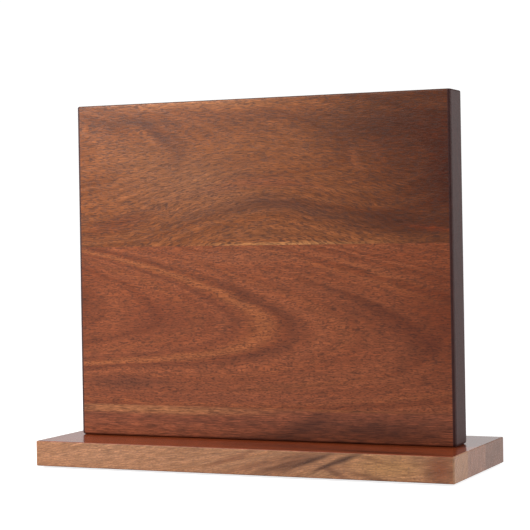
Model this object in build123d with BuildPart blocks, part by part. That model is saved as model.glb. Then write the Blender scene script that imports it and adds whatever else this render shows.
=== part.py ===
"""Upright double-sided magnetic knife board on a flat base, in millimetres.

X runs along the board, Y from the front face to the back face, and Z up.
The origin is the centre of the footprint, on the surface the feet stand on.
"""
from build123d import *
import os

# Board: two panels glued back to back, each edge-glued from three staves
board_width = 305.0
board_height = 256.0
board_thick = 26.0
board_side_radius = 2.5      # the four upright edges
board_top_radius = 1.4       # no more than the upright edges
board_bottom_radius = 2.4    # no more than the upright edges

# Stave heights; the middle stave of each panel takes what is left
front_upper_height = 110.0
front_lower_height = 24.5
back_upper_height = 78.0
back_lower_height = 66.0

# Base: three staves glued edge to edge; the middle stave takes what is left
base_length = 332.0
base_depth = 120.0
base_thick = 19.0
base_corner_radius = 1.2     # the four upright edges
base_edge_radius = 0.8       # top and bottom edges, no more than the upright edges
base_front_width = 31.0
base_rear_width = 46.5

# Magnets: two rows in each panel, seated against a thin web of wood
magnet_count = 8             # in each row
magnet_diameter = 20.0
magnet_edge = 0.5            # chamfer on both rims of a disc
face_web = 2.0               # wood left between a magnet and the outer face
row_end_margin = 30.0        # board end to the centre of the last magnet
upper_row_drop = 55.0        # board top to the upper row
lower_row_rise = 85.0        # board bottom to the lower row
pocket_clearance = 0.2       # all round a magnet or a keeper strip

# Steel keeper strips, shared by the front and back magnets of a row
keeper_thick = 2.0
keeper_lip = 1.0             # steel beyond the magnet, above and below
keeper_overhang = 13.0       # steel beyond the last magnet's centre

# Screws up through the base into threaded inserts in the board
screw_diameter = 6.0
screw_head_diameter = 12.0
screw_hex = 4.0              # across the flats of the socket
screw_socket_depth = 2.5
screw_head_recess = 0.5      # head below the underside of the base
screw_engagement = 16.5      # screw above the top of the base
screw_clearance = 0.3        # radial, in the base and past the insert
screw_tip_gap = 2.0
screw_end_margin = 50.0      # board end to the outer screws
thread_clearance = 0.05      # radial, screw to insert

insert_length = 13.0
insert_wall = 1.75
insert_recess = 0.5          # insert below the board's bottom edge
insert_collar = 1.2          # thickness of the collar at the mouth
insert_collar_reach = 0.8    # collar beyond the insert's body
insert_thread_pitch = 2.5    # outer thread, cut as plain rings
insert_thread_depth = 0.5
insert_thread_root = 0.9     # height of the groove between two ridges
insert_clearance = 0.05      # radial, insert to wood

# Dowels that locate the board on the base
dowel_diameter = 8.0
dowel_in_base = 12.0
dowel_in_board = 18.0
dowel_edge = 1.0             # chamfer on both ends
dowel_flutes = 10            # glue flutes around each dowel
dowel_flute_radius = 0.45
dowel_clearance = 0.1        # radial
dowel_end_gap = 1.0

# Feet, set into the underside
foot_diameter = 14.0
foot_proud = 1.5
foot_set_in = 1.0
foot_edge_radius = 0.6
foot_inset = 20.0            # base edge to the centre of a foot
foot_clearance = 0.2

# Levels and places that follow from the sizes above
base_bottom = foot_proud
base_top = base_bottom + base_thick
board_bottom = base_top
board_top = board_bottom + board_height
panel_thick = board_thick / 2
board_half = board_width / 2

magnet_thick = panel_thick - face_web - keeper_thick / 2
magnet_pitch = (board_width - 2 * row_end_margin) / (magnet_count - 1)
row_span = magnet_pitch * (magnet_count - 1)
upper_row = board_top - upper_row_drop
lower_row = board_bottom + lower_row_rise
keeper_height = magnet_diameter + 2 * keeper_lip
keeper_length = row_span + 2 * keeper_overhang

screw_bottom = base_bottom + screw_head_recess
screw_top = base_top + screw_engagement
outer_screw = board_half - screw_end_margin
screw_places = [-outer_screw, 0.0, outer_screw]
dowel_places = [-outer_screw / 2, outer_screw / 2]
insert_bottom = board_bottom + insert_recess
insert_radius = screw_diameter / 2 + thread_clearance + insert_wall
head_radius = screw_head_diameter / 2
head_height = head_radius - screw_diameter / 2

foot_x = base_length / 2 - foot_inset
foot_y = base_depth / 2 - foot_inset

os.makedirs("parts", exist_ok=True)


def save(piece, name):
    """Label a finished piece and write it to its own file."""
    piece.part.label = name
    export_step(piece.part, f"parts/{name}.step")


# Blanks that the staves are sawn from: the whole board and the whole base
with BuildPart() as board_blank:
    with BuildSketch(Plane.XY.offset(board_bottom)):
        RectangleRounded(board_width, board_thick, board_side_radius)
    extrude(amount=board_height)
    fillet(board_blank.faces().sort_by(Axis.Z)[0].edges(), board_bottom_radius)
    fillet(board_blank.faces().sort_by(Axis.Z)[-1].edges(), board_top_radius)

with BuildPart() as base_blank:
    with BuildSketch(Plane.XY.offset(base_bottom)):
        RectangleRounded(base_length, base_depth, base_corner_radius)
    extrude(amount=base_thick)
    fillet(base_blank.faces().sort_by(Axis.Z)[0].edges(), base_edge_radius)
    fillet(base_blank.faces().sort_by(Axis.Z)[-1].edges(), base_edge_radius)

# Everything milled or drilled out of the board: keeper channels, magnet pockets and bottom holes
with BuildPart() as board_cuts:
    for row in (upper_row, lower_row):
        with Locations((0, 0, row)):
            Box(
                keeper_length + 2 * pocket_clearance,
                keeper_thick,
                keeper_height + 2 * pocket_clearance,
            )
        with BuildSketch(Plane.XZ) as pocket_row:
            with Locations((0, row)):
                with GridLocations(magnet_pitch, 0, magnet_count, 1):
                    Circle(magnet_diameter / 2 + pocket_clearance)
        extrude(amount=keeper_thick / 2 + magnet_thick, both=True)
    with BuildSketch(Plane.XY.offset(board_bottom)):
        with Locations(*[(x, 0) for x in dowel_places]):
            Circle(dowel_diameter / 2 + dowel_clearance)
    extrude(amount=dowel_in_board + dowel_end_gap)
    with BuildSketch(Plane.XY.offset(board_bottom)):
        with Locations(*[(x, 0) for x in screw_places]):
            Circle(insert_radius + insert_clearance)
    extrude(amount=insert_recess + insert_length)
    with BuildSketch(Plane.XY.offset(board_bottom)):
        with Locations(*[(x, 0) for x in screw_places]):
            Circle(insert_radius + insert_collar_reach + insert_clearance)
    extrude(amount=insert_recess + insert_collar)
    with BuildSketch(Plane.XY.offset(board_bottom)):
        with Locations(*[(x, 0) for x in screw_places]):
            Circle(screw_diameter / 2 + screw_clearance)
    extrude(amount=screw_engagement + screw_tip_gap)

# Everything drilled out of the base: screw holes with their countersinks, dowel holes and foot recesses
with BuildPart() as base_cuts:
    with BuildSketch(Plane.XY.offset(base_bottom)):
        with Locations(*[(x, 0) for x in screw_places]):
            Circle(screw_diameter / 2 + screw_clearance)
    extrude(amount=base_thick)
    with BuildSketch(Plane.XY.offset(base_bottom)):
        with Locations(*[(x, 0) for x in screw_places]):
            Circle(head_radius + screw_clearance)
    extrude(amount=screw_head_recess)
    for x in screw_places:
        with Locations((x, 0, screw_bottom)):
            Cone(
                head_radius,
                screw_diameter / 2,
                head_height,
                align=(Align.CENTER, Align.CENTER, Align.MIN),
            )
    with BuildSketch(Plane.XY.offset(base_top)):
        with Locations(*[(x, 0) for x in dowel_places]):
            Circle(dowel_diameter / 2 + dowel_clearance)
    extrude(amount=-(dowel_in_base + dowel_end_gap))
    with BuildSketch(Plane.XY.offset(base_bottom)):
        with GridLocations(2 * foot_x, 2 * foot_y, 2, 2):
            Circle(foot_diameter / 2 + foot_clearance)
    extrude(amount=foot_set_in)

# Board staves: a slab of the blank between two levels, on one side of the glue plane
front_joints = [board_bottom, board_bottom + front_lower_height, board_top - front_upper_height, board_top]
back_joints = [board_bottom, board_bottom + back_lower_height, board_top - back_upper_height, board_top]
for side, joints in (("front", front_joints), ("back", back_joints)):
    glue_side = -1 if side == "front" else 1
    for level, low, high in zip(("lower", "middle", "upper"), joints, joints[1:]):
        with BuildPart() as stave:
            add(board_blank.part)
            with Locations((0, glue_side * panel_thick / 2, (low + high) / 2)):
                Box(board_width, panel_thick, high - low, mode=Mode.INTERSECT)
            add(board_cuts.part, mode=Mode.SUBTRACT)
        save(stave, f"{side}_{level}_stave")

# Base staves: a slab of the blank between two depths
base_joints = [
    -base_depth / 2,
    -base_depth / 2 + base_front_width,
    base_depth / 2 - base_rear_width,
    base_depth / 2,
]
for place, near, far in zip(("front", "middle", "rear"), base_joints, base_joints[1:]):
    with BuildPart() as stave:
        add(base_blank.part)
        with Locations((0, (near + far) / 2, base_bottom + base_thick / 2)):
            Box(base_length, far - near, base_thick, mode=Mode.INTERSECT)
        add(base_cuts.part, mode=Mode.SUBTRACT)
    save(stave, f"base_{place}_stave")

# Magnets: discs standing on edge, from the keeper strip out to the web
for side, direction in (("front", 1), ("back", -1)):
    for level, row in (("upper", upper_row), ("lower", lower_row)):
        with BuildPart() as magnets:
            with BuildSketch(Plane.XZ.offset(direction * keeper_thick / 2)):
                with Locations((0, row)):
                    with GridLocations(magnet_pitch, 0, magnet_count, 1):
                        Circle(magnet_diameter / 2)
            extrude(amount=direction * magnet_thick)
            chamfer(magnets.edges().filter_by(GeomType.CIRCLE), magnet_edge)
        save(magnets, f"{side}_{level}_magnets")

# Keeper strips: flat steel bar in the channel between the two panels
for level, row in (("upper", upper_row), ("lower", lower_row)):
    with BuildPart() as keeper:
        with Locations((0, 0, row)):
            Box(keeper_length, keeper_thick, keeper_height)
        fillet(keeper.edges().filter_by(Axis.Y), keeper_lip)
    save(keeper, f"{level}_keeper_strip")

# Countersunk socket screws, head down in the underside of the base
with BuildPart() as base_screws:
    for x in screw_places:
        with Locations((x, 0, screw_bottom)):
            Cone(
                head_radius,
                screw_diameter / 2,
                head_height,
                align=(Align.CENTER, Align.CENTER, Align.MIN),
            )
            Cylinder(
                screw_diameter / 2,
                screw_top - screw_bottom,
                align=(Align.CENTER, Align.CENTER, Align.MIN),
            )
    tips = base_screws.edges().filter_by(GeomType.CIRCLE).group_by(Axis.Z)[-1]
    chamfer(tips, screw_diameter / 8)
    with BuildSketch(Plane.XY.offset(screw_bottom)):
        with Locations(*[(x, 0) for x in screw_places]):
            RegularPolygon(screw_hex / 2, 6, major_radius=False)
    extrude(amount=screw_socket_depth, mode=Mode.SUBTRACT)
save(base_screws, "base_screws")

# Threaded inserts: brass sleeves with a collar at the mouth
with BuildPart() as threaded_inserts:
    with BuildSketch(Plane.XY.offset(insert_bottom)):
        with Locations(*[(x, 0) for x in screw_places]):
            Circle(insert_radius)
    extrude(amount=insert_length)
    with BuildSketch(Plane.XY.offset(insert_bottom)):
        with Locations(*[(x, 0) for x in screw_places]):
            Circle(insert_radius + insert_collar_reach)
    extrude(amount=insert_collar)
    with BuildSketch(Plane.XY.offset(insert_bottom)):
        with Locations(*[(x, 0) for x in screw_places]):
            Circle(screw_diameter / 2 + thread_clearance)
    extrude(amount=insert_length, mode=Mode.SUBTRACT)
    root = insert_bottom + insert_collar + insert_thread_pitch / 2
    while root + insert_thread_root < insert_bottom + insert_length:
        with BuildSketch(Plane.XY.offset(root)):
            with Locations(*[(x, 0) for x in screw_places]):
                Circle(insert_radius)
                Circle(insert_radius - insert_thread_depth, mode=Mode.SUBTRACT)
        extrude(amount=insert_thread_root, mode=Mode.SUBTRACT)
        root += insert_thread_pitch
save(threaded_inserts, "threaded_inserts")

# Fluted beech dowels, part in the base and part in the board
with BuildPart() as locating_dowels:
    with BuildSketch(Plane.XY.offset(base_top - dowel_in_base)):
        with Locations(*[(x, 0) for x in dowel_places]):
            Circle(dowel_diameter / 2)
    extrude(amount=dowel_in_base + dowel_in_board)
    chamfer(locating_dowels.edges().filter_by(GeomType.CIRCLE), dowel_edge)
    with BuildSketch(Plane.XY.offset(base_top - dowel_in_base)):
        for x in dowel_places:
            with Locations((x, 0)):
                with PolarLocations(dowel_diameter / 2, dowel_flutes):
                    Circle(dowel_flute_radius)
    extrude(amount=dowel_in_base + dowel_in_board, mode=Mode.SUBTRACT)
save(locating_dowels, "locating_dowels")

# Rubber feet: discs set into the underside, with a rounded lower rim
for name, x, y in (
    ("front_left", -foot_x, -foot_y),
    ("front_right", foot_x, -foot_y),
    ("rear_left", -foot_x, foot_y),
    ("rear_right", foot_x, foot_y),
):
    with BuildPart() as foot:
        with BuildSketch(Plane.XY):
            with Locations((x, y)):
                Circle(foot_diameter / 2)
        extrude(amount=foot_proud + foot_set_in)
        fillet(foot.edges().group_by(Axis.Z)[0], foot_edge_radius)
    save(foot, f"{name}_foot")
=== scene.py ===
import math

import bpy
from mathutils import Matrix, Vector


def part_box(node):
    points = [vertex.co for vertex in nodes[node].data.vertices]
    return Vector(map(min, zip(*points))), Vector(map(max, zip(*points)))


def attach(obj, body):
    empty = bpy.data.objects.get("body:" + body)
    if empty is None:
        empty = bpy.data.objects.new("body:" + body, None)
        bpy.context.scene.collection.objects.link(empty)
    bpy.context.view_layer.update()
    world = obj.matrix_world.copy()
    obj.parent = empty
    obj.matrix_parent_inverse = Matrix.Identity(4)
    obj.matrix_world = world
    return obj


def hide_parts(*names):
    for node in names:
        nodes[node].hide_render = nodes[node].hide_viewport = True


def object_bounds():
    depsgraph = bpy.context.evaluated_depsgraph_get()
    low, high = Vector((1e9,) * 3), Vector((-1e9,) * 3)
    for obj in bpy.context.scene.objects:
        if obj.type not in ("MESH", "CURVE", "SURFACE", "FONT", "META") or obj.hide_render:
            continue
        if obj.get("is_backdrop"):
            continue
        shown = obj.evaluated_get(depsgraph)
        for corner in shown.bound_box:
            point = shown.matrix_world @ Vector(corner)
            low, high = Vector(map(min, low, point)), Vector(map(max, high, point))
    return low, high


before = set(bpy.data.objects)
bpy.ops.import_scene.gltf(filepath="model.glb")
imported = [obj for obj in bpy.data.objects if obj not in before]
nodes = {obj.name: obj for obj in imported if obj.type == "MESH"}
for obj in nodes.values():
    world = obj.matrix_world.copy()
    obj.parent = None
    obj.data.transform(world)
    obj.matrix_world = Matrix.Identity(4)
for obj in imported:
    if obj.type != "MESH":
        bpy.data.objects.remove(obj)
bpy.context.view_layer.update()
print("frame loaded:", len(nodes), "nodes")


def toLinear(hexColour):  # sRGB hex to the linear RGBA that Blender's sockets take
    channels = [int(hexColour[i:i + 2], 16) / 255 for i in (1, 3, 5)]
    return [c / 12.92 if c <= 0.04045 else ((c + 0.055) / 1.055) ** 2.4 for c in channels] + [1.0]


def addNode(tree, kind, inputs, output=0, **settings):  # one node, its inputs set or linked, one output back
    node = tree.nodes.new("ShaderNode" + kind)
    for name, value in settings.items():
        setattr(node, name, value)
    for place, value in inputs.items():
        if isinstance(value, bpy.types.NodeSocket):
            tree.links.new(value, node.inputs[place])
        else:
            node.inputs[place].default_value = value
    return node.outputs[output]


def newMaterial(name, roughness, ior=1.5, metallic=0.0):
    material = bpy.data.materials.new(name)
    material.use_nodes = True
    shader = material.node_tree.nodes["Principled BSDF"]
    shader.inputs["Roughness"].default_value = roughness
    shader.inputs["IOR"].default_value = ior
    shader.inputs["Metallic"].default_value = metallic
    return material, material.node_tree, shader


# nearly all of a noise pattern's values lie within the first pair, and all but the rarest within the second
mostNoise = {"From Min": 0.3, "From Max": 0.7}
wholeNoise = {"From Min": 0.25, "From Max": 0.75}
throughWood = 1e6  # mm: a spot reaches straight through the wood, however thick it is


def softSpot(tree, place, spot):  # a turned ellipse on the face, strongest in the middle and gone at its rim
    fit = {"Vector": place, "Location": (spot["x"], 0, spot["z"])}
    fit["Rotation"] = (0, -math.radians(spot.get("turn", 0)), 0)  # a positive turn rises to the right
    fit["Scale"] = (spot["long"], throughWood, spot["high"])
    fitted = addNode(tree, "Mapping", fit, vector_type="TEXTURE")
    dome = addNode(tree, "TexGradient", {0: fitted}, "Fac", gradient_type="SPHERICAL")
    return addNode(tree, "MapRange", {0: dome, "To Max": spot["amount"]}, interpolation_type="SMOOTHSTEP")


# Lacquered acacia: planed, edge-glued and clear-lacquered. The eye gets interlocked grain in red-brown and
# tan, short dark pores along the fibres, a satin shine that the pores break up, and ends that drink the
# finish and go dark. Sizes are in mm; pores are about 0.2 mm wide in the wood and drawn coarser to show.
acaciaGrain = {  # each size is along the board, through it and up it; the dents' depth is in metres
    "rippleSize": (30, 9, 6), "swaySize": (150, 60, 45), "streakSize": (60, 4, 3.2), "endSize": (3, 5, 7),
    "poreEdge": (0.48, 0.68), "poreDuller": 0.1, "dentDepth": 0.0001, "endSpeckle": (0.8, 1.18),
    # the end limits start the dark end tone almost at once on an eased edge: painted shade along the edge,
    # besides the end grain the rounding shows
    "topEdge": (0.3, 0.8), "endToneAndEdgeShade": (0.02, 0.16),
}


def acacia(name, wood):
    material, tree, shader = newMaterial(name, wood["gloss"], wood["ior"])
    objectPlace = addNode(tree, "TexCoord", {}, "Object")
    mm = addNode(tree, "VectorMath", {0: objectPlace, "Scale": 1000.0}, operation="SCALE")

    # the fibres sway and bend, and the figure and the pores go with them
    place = addNode(tree, "Mapping", {0: mm, "Scale": [1 / size for size in acaciaGrain["rippleSize"]]})
    noise = addNode(tree, "TexNoise", {"Vector": place, "Scale": 1.0})
    limits = {**wholeNoise, "To Min": -wood["ripple"], "To Max": wood["ripple"]}
    ripple = addNode(tree, "MapRange", {0: noise, **limits})
    place = addNode(tree, "Mapping", {0: mm, "Scale": [1 / size for size in acaciaGrain["swaySize"]]})
    noise = addNode(tree, "TexNoise", {"Vector": place, "Scale": 1.0})
    limits = {**wholeNoise, "To Min": -wood["sway"], "To Max": wood["sway"]}
    sway = addNode(tree, "MapRange", {0: noise, **limits})
    lift = addNode(tree, "Math", {0: ripple, 1: sway}, operation="ADD")
    rise = addNode(tree, "VectorMath", {0: mm, 1: (wood["slope"], 0, 0)}, "Value", operation="DOT_PRODUCT")
    lift = addNode(tree, "Math", {0: lift, 1: rise}, operation="ADD")
    for bend in wood["bends"]:
        lift = addNode(tree, "Math", {0: lift, 1: softSpot(tree, mm, bend)}, operation="ADD")
    down = addNode(tree, "CombineXYZ", {"Z": lift})
    grain = addNode(tree, "VectorMath", {0: mm, 1: down}, operation="SUBTRACT")
    down = addNode(tree, "CombineXYZ", {"Z": ripple})
    rippled = addNode(tree, "VectorMath", {0: mm, 1: down}, operation="SUBTRACT")

    # growth rings: distance from a heart line, which lies outside the face and slants slightly to it
    rings = wood["rings"]
    fromHeart = addNode(tree, "VectorMath", {0: grain, 1: rings["apex"]}, operation="SUBTRACT")
    lean = (rings["tilt"], rings["inward"], 0)
    depth = addNode(tree, "VectorMath", {0: fromHeart, 1: lean}, "Value", operation="DOT_PRODUCT")
    depth = addNode(tree, "Math", {0: depth, 1: rings["radius"]}, operation="ADD")
    lean = (-rings["fall"], 0, 1)
    across = addNode(tree, "VectorMath", {0: fromHeart, 1: lean}, "Value", operation="DOT_PRODUCT")
    flat = addNode(tree, "CombineXYZ", {"X": depth, "Y": across})
    ringMm = addNode(tree, "VectorMath", {0: flat}, "Value", operation="LENGTH")
    width = {"W": ringMm, "Scale": 1 / rings["width"], "Detail": 3.0, "Roughness": 0.6}
    noise = addNode(tree, "TexNoise", width, noise_dimensions="1D")
    bands = addNode(tree, "MapRange", {0: noise, **mostNoise})
    early, late = (toLinear(tone) for tone in wood["tones"])
    colour = addNode(tree, "Mix", {0: bands, 6: early, 7: late}, 2, data_type="RGBA")

    # dark and pale lines that follow a ring, then darker and lighter areas
    for line in wood["lines"]:
        off = addNode(tree, "Math", {0: ringMm, 1: line["ring"]}, operation="SUBTRACT")
        off = addNode(tree, "Math", {0: off}, operation="ABSOLUTE")
        limits = {0: off, "From Max": line["width"], "To Min": line["amount"], "To Max": 0.0}
        mask = addNode(tree, "MapRange", limits, interpolation_type="SMOOTHSTEP")
        if "x" in line:
            part = softSpot(tree, mm, dict(line, amount=1.0))
            mask = addNode(tree, "Math", {0: mask, 1: part}, operation="MULTIPLY")
        colour = addNode(tree, "Mix", {0: mask, 6: colour, 7: toLinear(line["colour"])}, 2, data_type="RGBA")
    for patch in wood["patches"]:
        mask = softSpot(tree, grain if patch.get("arched") else rippled, patch)
        colour = addNode(tree, "Mix", {0: mask, 6: colour, 7: toLinear(patch["colour"])}, 2, data_type="RGBA")

    # long streaks, finer fibre and open pores, all along the grain
    place = addNode(tree, "Mapping", {0: grain, "Scale": [1 / size for size in acaciaGrain["streakSize"]]})
    noise = addNode(tree, "TexNoise", {"Vector": place, "Scale": 1.0})
    limits = {**mostNoise, "To Min": 1 - wood["streaks"], "To Max": 1 + wood["streaks"]}
    streaks = addNode(tree, "MapRange", {0: noise, **limits})
    place = addNode(tree, "Mapping", {0: grain, "Scale": [1 / size for size in wood["fibreSize"]]})
    noise = addNode(tree, "TexNoise", {"Vector": place, "Scale": 1.0, "Detail": 3.0, "Roughness": 0.6})
    limits = {**mostNoise, "To Min": 1 - wood["fibre"], "To Max": 1 + wood["fibre"]}
    fibre = addNode(tree, "MapRange", {0: noise, **limits})
    place = addNode(tree, "Mapping", {0: grain, "Scale": [1 / size for size in wood["poreSize"]]})
    noise = addNode(tree, "TexNoise", {"Vector": place, "Scale": 1.0, "Detail": 0.5})
    low, high = acaciaGrain["poreEdge"]
    pores = addNode(tree, "MapRange", {0: noise, 1: low, 2: high}, interpolation_type="SMOOTHSTEP")
    shade = addNode(tree, "Math", {0: fibre, 1: streaks}, operation="MULTIPLY")
    colour = addNode(tree, "VectorMath", {0: colour, "Scale": shade}, operation="SCALE")
    inPore = addNode(tree, "Math", {0: pores, 1: wood["pores"]}, operation="MULTIPLY")
    tones = {0: inPore, 6: colour, 7: toLinear(wood["poreTone"])}
    colour = addNode(tree, "Mix", tones, 2, data_type="RGBA")

    # top and bottom faces, told by which way the surface faces, with any dark streaks along them
    facing = addNode(tree, "TexCoord", {}, "Normal")
    upright = addNode(tree, "VectorMath", {0: facing, 1: (0, 0, 1)}, "Value", operation="DOT_PRODUCT")
    upright = addNode(tree, "Math", {0: upright}, operation="ABSOLUTE")
    low, high = acaciaGrain["topEdge"]
    onTop = addNode(tree, "MapRange", {0: upright, 1: low, 2: high}, interpolation_type="SMOOTHSTEP")
    early, late = (toLinear(tone) for tone in wood["topTones"])
    topTone = addNode(tree, "Mix", {0: bands, 6: early, 7: late}, 2, data_type="RGBA")
    fromAbove = addNode(tree, "VectorMath", {0: mm, 1: (0, 1, 0)}, "Value", operation="DOT_PRODUCT")
    fromAbove = addNode(tree, "CombineXYZ", {"Z": fromAbove})
    fromAbove = addNode(tree, "VectorMath", {0: mm, 1: (1, 0, 0), 2: fromAbove}, operation="MULTIPLY_ADD")
    for patch in wood["topPatches"]:
        mask = softSpot(tree, fromAbove, patch)
        tones = {0: mask, 6: topTone, 7: toLinear(patch["colour"])}
        topTone = addNode(tree, "Mix", tones, 2, data_type="RGBA")
    topTone = addNode(tree, "VectorMath", {0: topTone, "Scale": streaks}, operation="SCALE")
    colour = addNode(tree, "Mix", {0: onTop, 6: colour, 7: topTone}, 2, data_type="RGBA")

    # sawn and sealed ends, with the pores seen end on; the end tone starts as soon as an edge begins to turn,
    # so it also paints shade along the eased edges
    endways = addNode(tree, "VectorMath", {0: facing, 1: (1, 0, 0)}, "Value", operation="DOT_PRODUCT")
    endways = addNode(tree, "Math", {0: endways}, operation="ABSOLUTE")
    low, high = acaciaGrain["endToneAndEdgeShade"]
    onEndOrEdgeShade = addNode(tree, "MapRange", {0: endways, 1: low, 2: high}, interpolation_type="SMOOTHSTEP")
    early, late = (toLinear(tone) for tone in wood["endTones"])
    endTone = addNode(tree, "Mix", {0: bands, 6: early, 7: late}, 2, data_type="RGBA")
    place = addNode(tree, "Mapping", {0: mm, "Scale": [1 / size for size in acaciaGrain["endSize"]]})
    noise = addNode(tree, "TexNoise", {"Vector": place, "Scale": 1.0, "Detail": 5.0, "Roughness": 0.65})
    low, high = acaciaGrain["endSpeckle"]
    speckle = addNode(tree, "MapRange", {0: noise, **mostNoise, "To Min": low, "To Max": high})
    endTone = addNode(tree, "VectorMath", {0: endTone, "Scale": speckle}, operation="SCALE")
    colour = addNode(tree, "Mix", {0: onEndOrEdgeShade, 6: colour, 7: endTone}, 2, data_type="RGBA")
    tree.links.new(colour, shader.inputs["Base Color"])

    # the lacquer sinks into the pores of the faces and is duller there, as it is on ends and eased edges
    onFace = addNode(tree, "MapRange", {0: onTop, "To Min": 1.0, "To Max": 0.0})
    facePores = addNode(tree, "Math", {0: pores, 1: onFace}, operation="MULTIPLY")
    duller = {0: facePores, 1: acaciaGrain["poreDuller"], 2: wood["gloss"]}
    rough = addNode(tree, "Math", duller, operation="MULTIPLY_ADD")
    rough = addNode(tree, "Math", {0: onTop, 1: wood["topDuller"], 2: rough}, operation="MULTIPLY_ADD")
    rough = addNode(tree, "Math", {0: onEndOrEdgeShade, 1: wood["endDuller"], 2: rough}, operation="MULTIPLY_ADD")
    for turned in (upright, endways):  # 0 where a face is flat, and 0.5 half way round its edge
        eased = addNode(tree, "Math", {0: turned, 1: 0.5}, operation="PINGPONG")
        rough = addNode(tree, "Math", {0: eased, 1: wood["edgeDuller"], 2: rough}, operation="MULTIPLY_ADD")
    tree.links.new(rough, shader.inputs["Roughness"])
    dents = {"Strength": wood["dents"], "Distance": acaciaGrain["dentDepth"], "Height": facePores}
    tree.links.new(addNode(tree, "Bump", dents, invert=True), shader.inputs["Normal"])
    return material


# The board's staves share one finish. A patch, bend or line is placed by x and z in mm on the face, reaches
# long and high from there, and turns in degrees; the rings' heart line is radius mm from the face at apex.
boardWood = {
    "gloss": 0.31, "topDuller": 0.35, "endDuller": 0.14, "edgeDuller": 0.7, "ior": 1.42, "dents": 0.2,
    "slope": 0.0, "bends": [], "lines": [],
    "topTones": ("#4a2a1c", "#54301f"), "endTones": ("#3b1b18", "#46221e"), "topPatches": [],
    "fibreSize": (9, 1.0, 0.62), "poreSize": (3.0, 0.9, 0.46), "poreTone": "#46200f",
}
frontUpperWood = {
    **boardWood, "tones": ("#7d431f", "#965730"), "sway": 3.0, "ripple": 1.2, "streaks": 0.14,
    "fibre": 0.56, "pores": 0.68,
    "rings": {
        "apex": (-66, -13, 237), "radius": 60, "tilt": 0.12, "inward": 1.0, "fall": -0.05, "width": 3.4},
    "bends": [{"x": 4, "z": 196, "long": 130, "high": 80, "amount": 22.0}],
    "lines": [
        {"ring": 60.5, "width": 1.8, "colour": "#5a3020", "amount": 0.5,
         "x": -66, "z": 242, "long": 45, "high": 30},
    ],
    "patches": [
        {"x": -98, "z": 234, "long": 56, "high": 26, "colour": "#965c37", "amount": 0.75},
        {"x": -50, "z": 222, "long": 34, "high": 26, "turn": 20, "colour": "#935a36", "amount": 0.55},
        {"x": -85, "z": 196, "long": 46, "high": 9, "turn": 22, "colour": "#8e5230", "amount": 0.5},
        {"x": -104, "z": 262, "long": 80, "high": 7, "turn": -3, "colour": "#64371f", "amount": 0.75},
        {"x": -82, "z": 251, "long": 34, "high": 6, "turn": -38, "colour": "#5c3322", "amount": 0.75},
        {"x": -64, "z": 233, "long": 8, "high": 20, "turn": -8, "colour": "#6b3d26", "amount": 0.55},
        # a painted highlight: the pale band where the eased top edge catches the light at the left
        {"x": -52, "z": 275, "long": 125, "high": 8, "turn": -1, "colour": "#ab6b40", "amount": 0.95},
        {"x": 15, "z": 262, "long": 90, "high": 6, "turn": -2, "colour": "#6c3c24", "amount": 0.6},
        {"x": -20, "z": 240, "long": 80, "high": 14, "colour": "#96582f", "amount": 0.55},
        {"x": 0, "z": 193, "long": 80, "high": 9, "colour": "#8a4528", "amount": 0.6, "arched": True},
        {"x": -4, "z": 201, "long": 66, "high": 3, "colour": "#633320", "amount": 0.4, "arched": True},
        {"x": 15, "z": 176, "long": 125, "high": 11, "colour": "#5a3121", "amount": 0.7, "arched": True},
        {"x": -55, "z": 210, "long": 100, "high": 34, "colour": "#9f6a49", "amount": 0.4},
        {"x": -120, "z": 183, "long": 50, "high": 12, "turn": 14, "colour": "#72371e", "amount": 0.6},
        {"x": -4, "z": 175, "long": 60, "high": 7, "colour": "#8a5231", "amount": 0.6},
        {"x": 100, "z": 252, "long": 90, "high": 34, "colour": "#4f2a1a", "amount": 0.8},
        {"x": 115, "z": 274, "long": 75, "high": 9, "colour": "#4d2a1b", "amount": 0.5},
        {"x": 104, "z": 184, "long": 70, "high": 14, "turn": -8, "colour": "#49210f", "amount": 0.85},
        # the two broad dark areas below are painted shade: the light falling off toward the board's top right
        # corner
        {"x": 105, "z": 221, "long": 70, "high": 80, "colour": "#5a2811", "amount": 0.5},
        {"x": 165, "z": 221, "long": 85, "high": 120, "colour": "#3d0c02", "amount": 0.95},
        {"x": 79, "z": 229, "long": 22, "high": 7, "turn": -70, "colour": "#8c4e2c", "amount": 0.6},
        {"x": 96, "z": 233, "long": 20, "high": 6, "turn": -60, "colour": "#7e4224", "amount": 0.5},
        {"x": 137, "z": 177, "long": 30, "high": 3, "turn": -8, "colour": "#8a3a17", "amount": 0.6},
        {"x": 24, "z": 166.8, "long": 100, "high": 3.4, "turn": 0.5, "colour": "#bb7d4c", "amount": 1.0},
    ],
}
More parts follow.
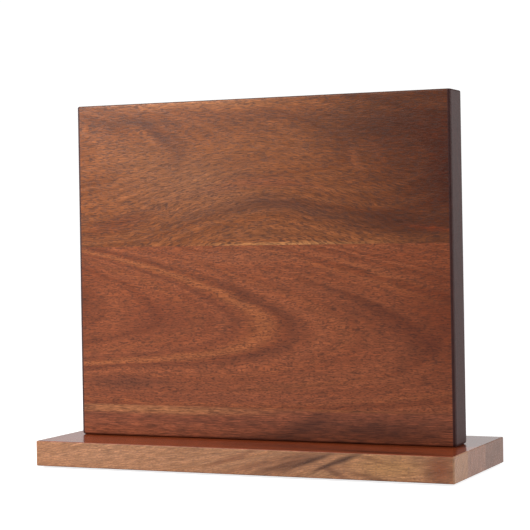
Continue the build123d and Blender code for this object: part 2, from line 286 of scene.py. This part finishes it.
frontMiddleWood = {
    **boardWood, "tones": ("#844223", "#9b5432"), "sway": 3.0, "ripple": 1.2, "streaks": 0.1,
    "fibre": 0.5, "pores": 0.6, "poreSize": (2.0, 0.9, 0.5),
    "rings": {
        "apex": (4, -13, 104.5), "radius": 72, "tilt": 0.10, "inward": 1.0, "fall": -0.103, "width": 2.8},
    "lines": [
        {"ring": 72.0, "width": 1.9, "colour": "#ad6438", "amount": 0.62},
        {"ring": 74.6, "width": 1.4, "colour": "#5f2e1b", "amount": 0.45},
        {"ring": 69.6, "width": 1.1, "colour": "#6b341e", "amount": 0.45},
        {"ring": 66.5, "width": 1.2, "colour": "#a05a33", "amount": 0.4},
        {"ring": 63.0, "width": 1.0, "colour": "#71381f", "amount": 0.35},
        {"ring": 78.6, "width": 1.3, "colour": "#9c5631", "amount": 0.4},
        {"ring": 84.6, "width": 2.2, "colour": "#47200f", "amount": 0.75,
         "x": 84, "z": 110, "long": 80, "high": 36, "turn": -20},
        {"ring": 92.0, "width": 1.8, "colour": "#a3592f", "amount": 0.35},
    ],
    "patches": [
        {"x": -70, "z": 112, "long": 85, "high": 34, "colour": "#7a381e", "amount": 0.45},
        {"x": -45, "z": 96, "long": 120, "high": 12, "turn": 4, "colour": "#9c502c", "amount": 0.35},
        {"x": -25, "z": 74, "long": 150, "high": 9, "turn": 3, "colour": "#a25631", "amount": 0.35},
        {"x": 0, "z": 52, "long": 150, "high": 7, "colour": "#a05838", "amount": 0.35},
        {"x": -10, "z": 158, "long": 80, "high": 10, "colour": "#995a3a", "amount": 0.45},
        {"x": -59, "z": 146, "long": 52, "high": 5, "turn": -22, "colour": "#96522f", "amount": 0.35},
        {"x": -14, "z": 132, "long": 36, "high": 6, "turn": -33, "colour": "#63321e", "amount": 0.4},
        {"x": 95, "z": 113, "long": 62, "high": 17, "turn": -22, "colour": "#642a12", "amount": 0.55},
        {"x": 138, "z": 93, "long": 9, "high": 16, "colour": "#57220f", "amount": 0.5},
        {"x": 92, "z": 147, "long": 70, "high": 3, "turn": -16, "colour": "#a35a31", "amount": 0.4},
        {"x": -113, "z": 62.5, "long": 66, "high": 8, "colour": "#653420", "amount": 0.7},
        {"x": -152, "z": 124, "long": 34, "high": 60, "colour": "#6a3018", "amount": 0.6},
        {"x": 40, "z": 63, "long": 85, "high": 4, "turn": 6, "colour": "#9f5a32", "amount": 0.4},
        {"x": 70, "z": 84, "long": 60, "high": 12, "turn": 6, "colour": "#8e4626", "amount": 0.4},
        {"x": 117, "z": 158, "long": 55, "high": 7, "colour": "#8d4525", "amount": 0.5},
        # painted shade: the light falling off toward the board's right end
        {"x": 156, "z": 112, "long": 75, "high": 80, "colour": "#6a2708", "amount": 0.7},
    ],
}
frontLowerWood = {
    **boardWood, "tones": ("#80432a", "#935033"), "sway": 1.0, "ripple": 0.6, "streaks": 0.12,
    "fibre": 0.7, "pores": 0.45, "fibreSize": (14, 1.0, 0.7),
    "rings": {"apex": (400, -13, 20), "radius": 30, "tilt": 0.02, "inward": 1.0, "fall": 0.0, "width": 3.0},
    "patches": [
        {"x": -94, "z": 42.0, "long": 150, "high": 6, "colour": "#b27348", "amount": 0.95},
        {"x": 60, "z": 44.7, "long": 150, "high": 2.4, "colour": "#98572f", "amount": 0.8},
        {"x": -110, "z": 30, "long": 80, "high": 10, "colour": "#9a5434", "amount": 0.4},
        {"x": 20, "z": 23, "long": 80, "high": 9, "colour": "#552918", "amount": 0.85},
        {"x": 36, "z": 32, "long": 34, "high": 10, "turn": 20, "colour": "#4f2514", "amount": 0.8},
        {"x": 95, "z": 30, "long": 95, "high": 15, "colour": "#522614", "amount": 0.85},
    ],
}
backUpperWood = {
    **frontMiddleWood, "lines": [],
    "rings": {"apex": (60, 13, 240), "radius": 55, "tilt": -0.09, "inward": -1.0, "fall": 0.06, "width": 4.5},
    "patches": [
        {"x": 90, "z": 262, "long": 90, "high": 8, "colour": "#9c5f39", "amount": 0.6},
        {"x": -60, "z": 216, "long": 80, "high": 10, "turn": -6, "colour": "#5c2f1e", "amount": 0.6},
    ],
}
backMiddleWood = {
    **frontUpperWood, "lines": [], "bends": [],
    "rings": {"apex": (-30, 13, 150), "radius": 64, "tilt": 0.1, "inward": -1.0, "fall": -0.08, "width": 4.0},
    "patches": [
        {"x": 40, "z": 150, "long": 100, "high": 12, "turn": 5, "colour": "#5f3420", "amount": 0.7},
        {"x": -100, "z": 120, "long": 60, "high": 16, "colour": "#965c37", "amount": 0.6},
    ],
}
backLowerWood = {
    **frontMiddleWood, "lines": [],
    "rings": {"apex": (20, 13, 40), "radius": 80, "tilt": 0.07, "inward": -1.0, "fall": 0.05, "width": 5.0},
    "patches": [
        {"x": -20, "z": 82, "long": 130, "high": 5, "colour": "#a8683d", "amount": 0.6},
        {"x": 70, "z": 40, "long": 70, "high": 12, "colour": "#5a2a1a", "amount": 0.6},
    ],
}
# the base is paler outside and glossier; its darker, redder top tones are partly a painted reflection of the
# red-brown board standing on it
baseFrontWood = {
    "gloss": 0.2, "topDuller": 0.0, "endDuller": 0.0, "edgeDuller": 0.9, "ior": 1.5, "dents": 0.08,
    "tones": ("#b07852", "#bb845f"),
    "topTones": ("#6c2c15", "#9c4824"), "endTones": ("#b08062", "#c79470"), "sway": 0.9, "ripple": 0.5,
    "streaks": 0.14, "fibre": 0.46, "pores": 0.5, "fibreSize": (9, 1.0, 0.7), "poreSize": (2.0, 1.2, 0.5),
    "poreTone": "#70432a",
    "rings": {"apex": (300, -60, 60), "radius": 60, "tilt": 0.05, "inward": 1.0, "fall": 0.0, "width": 2.5},
    "slope": 0.13, "bends": [{"x": 75, "z": 8, "long": 90, "high": 24, "amount": 8.0}],
    "lines": [],
    "patches": [
        {"x": -110, "z": 11, "long": 70, "high": 14, "colour": "#c08a66", "amount": 0.5},
        {"x": 118, "z": 11, "long": 45, "high": 14, "colour": "#c48d58", "amount": 0.9},
        {"x": 18, "z": 9, "long": 44, "high": 5, "turn": 16, "colour": "#8a5438", "amount": 0.6},
        {"x": 46, "z": 12, "long": 40, "high": 8, "turn": 20, "colour": "#74432a", "amount": 0.75},
        {"x": -2, "z": 13, "long": 32, "high": 3, "turn": 18, "colour": "#8a5237", "amount": 0.7},
        {"x": 32, "z": 8, "long": 28, "high": 2.4, "turn": 16, "colour": "#5d3521", "amount": 0.75},
        {"x": 60, "z": 14, "long": 32, "high": 2.6, "turn": 18, "colour": "#452416", "amount": 0.9},
        {"x": 70, "z": 10, "long": 22, "high": 2.0, "turn": 26, "colour": "#3f2115", "amount": 0.85},
        {"x": 66, "z": 4.5, "long": 18, "high": 3, "colour": "#bd8a60", "amount": 0.6},
        {"x": 84, "z": 15, "long": 28, "high": 2.8, "turn": 20, "colour": "#3a1d12", "amount": 0.9},
        {"x": 76, "z": 7, "long": 20, "high": 3.6, "turn": -22, "colour": "#603724", "amount": 0.65},
        {"x": 104, "z": 4, "long": 24, "high": 2.6, "turn": -12, "colour": "#74472b", "amount": 0.7},
        {"x": 108, "z": 16, "long": 20, "high": 2.4, "turn": -12, "colour": "#8a5a36", "amount": 0.6},
        {"x": 156, "z": 11, "long": 18, "high": 20, "colour": "#8e4c2b", "amount": 0.9},
    ],
    "topPatches": [  # seen from above, so z is how far back they lie
        {"x": 105, "z": -50, "long": 75, "high": 7, "turn": -4, "colour": "#34130a", "amount": 0.95},
        {"x": 20, "z": -40, "long": 110, "high": 16, "colour": "#5f2713", "amount": 0.5},
    ],
}
baseMiddleWood = {
    **baseFrontWood, "tones": ("#73341c", "#854026"), "patches": [], "topPatches": [], "slope": 0.0,
    "bends": [], "endTones": ("#a37663", "#b58873"),
}
baseRearWood = {**baseMiddleWood, "tones": ("#6e3a26", "#834a33"), "endTones": ("#906a5a", "#a17968")}

woods = {
    "front_upper_stave": frontUpperWood, "front_middle_stave": frontMiddleWood,
    "front_lower_stave": frontLowerWood, "back_upper_stave": backUpperWood,
    "back_middle_stave": backMiddleWood, "back_lower_stave": backLowerWood,
    "base_front_stave": baseFrontWood, "base_middle_stave": baseMiddleWood, "base_rear_stave": baseRearWood,
}
for node, wood in woods.items():
    nodes[node].material_slots[0].material = acacia("lacquered_acacia_" + node, wood)
print("woods done")

# Metals inside the board and under the base. Plating clouds slowly from bright to dull, and fine tool or
# drawing marks, drawn coarser than real, break up the shine along the way the piece was worked.
metals = {
    "nickel_plated_magnet": {  # barrel plated: nearly a mirror, a little yellow
        "tone": "#cdcac3", "dull": "#a9a69f", "roughness": 0.22, "wear": 0.12, "grain": (3, 3, 3)},
    "zinc_plated_drawn_bar": {  # long drawing lines, blue-grey
        "tone": "#c3c6ca", "dull": "#9ba0a6", "roughness": 0.38, "wear": 0.15, "grain": (40, 0.6, 0.6)},
    "zinc_plated_screw": {  # rolled and plated: rings round the shank
        "tone": "#c8c9cb", "dull": "#96999d", "roughness": 0.32, "wear": 0.16, "grain": (1.5, 1.5, 0.4)},
    "turned_brass": {  # close rings left by the lathe
        "tone": "#d9ae5f", "dull": "#b0854a", "roughness": 0.28, "wear": 0.12, "grain": (4, 4, 0.25)},
}
metalSurface = {"cloudSize": 9, "scratches": 0.15, "scratchDepth": 0.00005}  # size in mm, depth in metres


def metal(name):
    finish = metals[name]
    material, tree, shader = newMaterial(name, finish["roughness"], metallic=1.0)
    objectPlace = addNode(tree, "TexCoord", {}, "Object")
    mm = addNode(tree, "VectorMath", {0: objectPlace, "Scale": 1000.0}, operation="SCALE")
    noise = addNode(tree, "TexNoise", {"Vector": mm, "Scale": 1 / metalSurface["cloudSize"]})
    cloud = addNode(tree, "MapRange", {0: noise, **mostNoise})
    tones = {0: cloud, 6: toLinear(finish["tone"]), 7: toLinear(finish["dull"])}
    tree.links.new(addNode(tree, "Mix", tones, 2, data_type="RGBA"), shader.inputs["Base Color"])
    place = addNode(tree, "Mapping", {0: mm, "Scale": [1 / size for size in finish["grain"]]})
    marks = addNode(tree, "TexNoise", {"Vector": place, "Scale": 1.0, "Detail": 3.0, "Roughness": 0.6})
    low, high = finish["roughness"] - finish["wear"], finish["roughness"] + finish["wear"]
    shine = addNode(tree, "MapRange", {0: marks, **mostNoise, "To Min": low, "To Max": high})
    tree.links.new(shine, shader.inputs["Roughness"])
    depth = metalSurface["scratchDepth"]
    scratches = {"Strength": metalSurface["scratches"], "Distance": depth, "Height": marks}
    tree.links.new(addNode(tree, "Bump", scratches), shader.inputs["Normal"])
    return material


beech = {
    "roughness": 0.7, "ground": "#caa477", "rays": "#a87c56", "raySize": (0.5, 0.5, 2.5),
    "rayEdge": (0.45, 0.7), "grainSize": (1.2, 1.2, 18), "grainShade": (0.88, 1.1),
}


def turnedBeech(name):  # bare turned dowel stock: short pink-brown rays on a pale ground, quite matt
    material, tree, shader = newMaterial(name, beech["roughness"])
    objectPlace = addNode(tree, "TexCoord", {}, "Object")
    mm = addNode(tree, "VectorMath", {0: objectPlace, "Scale": 1000.0}, operation="SCALE")
    place = addNode(tree, "Mapping", {0: mm, "Scale": [1 / size for size in beech["raySize"]]})
    noise = addNode(tree, "TexNoise", {"Vector": place, "Scale": 1.0})
    low, high = beech["rayEdge"]
    rays = addNode(tree, "MapRange", {0: noise, 1: low, 2: high}, interpolation_type="SMOOTHSTEP")
    tones = {0: rays, 6: toLinear(beech["ground"]), 7: toLinear(beech["rays"])}
    tone = addNode(tree, "Mix", tones, 2, data_type="RGBA")
    place = addNode(tree, "Mapping", {0: mm, "Scale": [1 / size for size in beech["grainSize"]]})
    noise = addNode(tree, "TexNoise", {"Vector": place, "Scale": 1.0})
    low, high = beech["grainShade"]
    grain = addNode(tree, "MapRange", {0: noise, **mostNoise, "To Min": low, "To Max": high})
    tone = addNode(tree, "VectorMath", {0: tone, "Scale": grain}, operation="SCALE")
    tree.links.new(tone, shader.inputs["Base Color"])
    return material


nickelPlated = metal("nickel_plated_magnet")
for side in ("front", "back"):
    for level in ("upper", "lower"):
        nodes[side + "_" + level + "_magnets"].material_slots[0].material = nickelPlated
drawnBar = metal("zinc_plated_drawn_bar")
for level in ("upper", "lower"):
    nodes[level + "_keeper_strip"].material_slots[0].material = drawnBar
nodes["base_screws"].material_slots[0].material = metal("zinc_plated_screw")
nodes["threaded_inserts"].material_slots[0].material = metal("turned_brass")
nodes["locating_dowels"].material_slots[0].material = turnedBeech("turned_beech")
print("hardware done")

# feet: one is shaped from a disc and copied to the other three corners; its sizes are in metres
foot = {
    "sides": 72, "recessDepth": 0.0004, "recessRim": 0.0022, "rimRadius": 0.0006, "rimSteps": 4,
    "sharpAngle": 60, "smoothAngle": 35, "copies": ("front_right", "rear_left", "rear_right"),
}
rubber = {  # sizes are in mm, and the grit's height in metres
    "fresh": "#141414", "bloomed": "#222221", "bloomSize": 5, "bloomEdge": (0.35, 0.7),
    "roughness": 0.75, "uneven": 0.1, "gritSize": 0.35, "grit": 0.3, "gritHeight": 0.00005,
}


def mouldedRubber(name):  # compression-moulded rubber: matt near-black, with grit and a grey bloom
    material, tree, shader = newMaterial(name, rubber["roughness"], 1.52)
    objectPlace = addNode(tree, "TexCoord", {}, "Object")
    mm = addNode(tree, "VectorMath", {0: objectPlace, "Scale": 1000.0}, operation="SCALE")
    noise = addNode(tree, "TexNoise", {"Vector": mm, "Scale": 1 / rubber["bloomSize"]})
    low, high = rubber["bloomEdge"]
    bloom = addNode(tree, "MapRange", {0: noise, 1: low, 2: high})
    tones = {0: bloom, 6: toLinear(rubber["fresh"]), 7: toLinear(rubber["bloomed"])}
    tree.links.new(addNode(tree, "Mix", tones, 2, data_type="RGBA"), shader.inputs["Base Color"])
    grit = addNode(tree, "TexNoise", {"Vector": mm, "Scale": 1 / rubber["gritSize"]})
    low, high = rubber["roughness"] - rubber["uneven"], rubber["roughness"] + rubber["uneven"]
    tree.links.new(addNode(tree, "MapRange", {0: grit, 3: low, 4: high}), shader.inputs["Roughness"])
    bumps = {"Strength": rubber["grit"], "Distance": rubber["gritHeight"], "Height": grit}
    tree.links.new(addNode(tree, "Bump", bumps), shader.inputs["Normal"])
    return material


cornerLow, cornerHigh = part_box("front_left_foot")
firstMiddle = (Vector(cornerLow) + Vector(cornerHigh)) / 2
footRadius = (cornerHigh[0] - cornerLow[0]) / 2
footHeight = cornerHigh[2] - cornerLow[2]
bpy.ops.object.select_all(action="DESELECT")
bpy.ops.mesh.primitive_cylinder_add(
    vertices=foot["sides"], radius=footRadius, depth=footHeight, location=firstMiddle)
firstFoot = bpy.context.object
firstFoot.name = "front_left_rubber_foot"
bpy.ops.object.transform_apply(location=True, rotation=True, scale=True)
bpy.ops.object.mode_set(mode="EDIT")
bpy.ops.mesh.select_mode(type="FACE")
bpy.ops.mesh.select_all(action="DESELECT")
bpy.ops.object.mode_set(mode="OBJECT")
for face in firstFoot.data.polygons:  # the face that stands on the table is set back inside its rim
    face.select = face.normal.z < -0.9
bpy.ops.object.mode_set(mode="EDIT")
bpy.ops.mesh.inset(thickness=foot["recessRim"], depth=0)
bpy.ops.mesh.inset(thickness=foot["recessDepth"], depth=-foot["recessDepth"])  # the recess has sloping sides
bpy.ops.object.mode_set(mode="OBJECT")
rim = firstFoot.modifiers.new("moulded rim", "BEVEL")
rim.width = foot["rimRadius"]
rim.segments = foot["rimSteps"]
rim.limit_method = "ANGLE"
rim.angle_limit = math.radians(foot["sharpAngle"])
bpy.ops.object.modifier_apply(modifier=rim.name)
bpy.ops.object.shade_smooth_by_angle(angle=math.radians(foot["smoothAngle"]))
firstFoot.data.materials.append(mouldedRubber("moulded_black_rubber"))
feet = {"front_left": firstFoot}
for corner in foot["copies"]:
    piece = firstFoot.copy()
    piece.data = firstFoot.data.copy()
    piece.name = corner + "_rubber_foot"
    bpy.context.scene.collection.objects.link(piece)
    cornerLow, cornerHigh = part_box(corner + "_foot")
    shift = (Vector(cornerLow) + Vector(cornerHigh)) / 2 - firstMiddle
    piece.data.transform(Matrix.Translation(shift))
    feet[corner] = piece
for corner, piece in feet.items():
    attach(piece, "root")
    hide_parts(corner + "_foot")
print("feet done")

# floor: a matt white sweep with a glow of its own, weaker in what mirrors it, as an evenly lit table looks
sweep = {"size": 24, "tone": "#b9b9b9", "glow": 0.84, "mirrorGlow": 0.28, "roughness": 0.9}
bpy.ops.object.select_all(action="DESELECT")
bpy.ops.mesh.primitive_plane_add(size=sweep["size"])
floor = bpy.context.object
floor.name = "floor"
floorMaterial, tree, shader = newMaterial("matt_white_sweep", sweep["roughness"])
shader.inputs["Base Color"].default_value = toLinear(sweep["tone"])
shader.inputs["Emission Color"].default_value = toLinear("#ffffff")
seen = addNode(tree, "LightPath", {}, "Is Camera Ray")
mirrored = addNode(tree, "LightPath", {}, "Is Glossy Ray")
glow = addNode(tree, "Math", {0: seen, 1: sweep["glow"]}, operation="MULTIPLY")
glow = addNode(tree, "Math", {0: mirrored, 1: sweep["mirrorGlow"], 2: glow}, operation="MULTIPLY_ADD")
tree.links.new(glow, shader.inputs["Emission Strength"])
floor.data.materials.append(floorMaterial)
floor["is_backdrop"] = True

# studio: the lit backdrop is behind and to the right, and the rest of the room is dim
studio = {"backdrop": (0.55, 0.83, 0), "edge": (-0.1, 0.6), "dim": 0.11, "bright": 0.81, "seen": 1.05}
world = bpy.data.worlds.new("studio")
bpy.context.scene.world = world
world.use_nodes = True
tree = world.node_tree
direction = addNode(tree, "TexCoord", {}, "Generated")
towards = addNode(tree, "VectorMath", {0: direction, 1: studio["backdrop"]}, "Value", operation="DOT_PRODUCT")
low, high = studio["edge"]
limits = {0: towards, 1: low, 2: high, "To Min": studio["dim"], "To Max": studio["bright"]}
room = addNode(tree, "MapRange", limits, interpolation_type="SMOOTHSTEP")
seen = addNode(tree, "LightPath", {}, "Is Camera Ray")
strength = addNode(tree, "Mix", {0: seen, 2: room, 3: studio["seen"]}, data_type="FLOAT")
background = tree.nodes["Background"]
background.inputs["Color"].default_value = toLinear("#ffffff")
tree.links.new(strength, background.inputs["Strength"])

softboxes = {  # the key is high at the front left, and the other low on the right
    "key_softbox": {"place": (-0.62, -0.62, 0.68), "aim": (0, 0, 0.14), "size": 0.5, "power": 12.5},
    "side_softbox": {"place": (1.15, 0.1, 0.26), "aim": (0, 0, 0.08), "size": 0.7, "power": 4.0},
}
for name, box in softboxes.items():
    light = bpy.data.lights.new(name, "AREA")
    light.size = box["size"]
    light.energy = box["power"]
    lamp = bpy.data.objects.new(name, light)
    bpy.context.scene.collection.objects.link(lamp)
    lamp.location = box["place"]
    lamp.rotation_euler = (Vector(box["aim"]) - Vector(box["place"])).to_track_quat("-Z", "Y").to_euler()
    lamp.visible_camera = False
print("stage and lights done")

# camera: nearly level, with a little lens shift that keeps the uprights upright
shot = {"place": (0.5365, -1.2115, 0.1785), "turn": 23.85, "roll": -0.97, "lens": 119.5, "shift": -0.068}
camera = bpy.data.objects.new("camera", bpy.data.cameras.new("camera"))
bpy.context.scene.collection.objects.link(camera)
camera.data.lens = shot["lens"]
camera.data.shift_y = shot["shift"]
turn = Matrix.Rotation(math.radians(shot["turn"]), 4, "Z")
level = Matrix.Rotation(math.radians(90), 4, "X")
roll = Matrix.Rotation(math.radians(shot["roll"]), 4, "Z")
camera.matrix_world = Matrix.Translation(shot["place"]) @ turn @ level @ roll
bpy.context.scene.camera = camera
bpy.context.scene.view_settings.view_transform = "Standard"
print("camera done")

low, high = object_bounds()
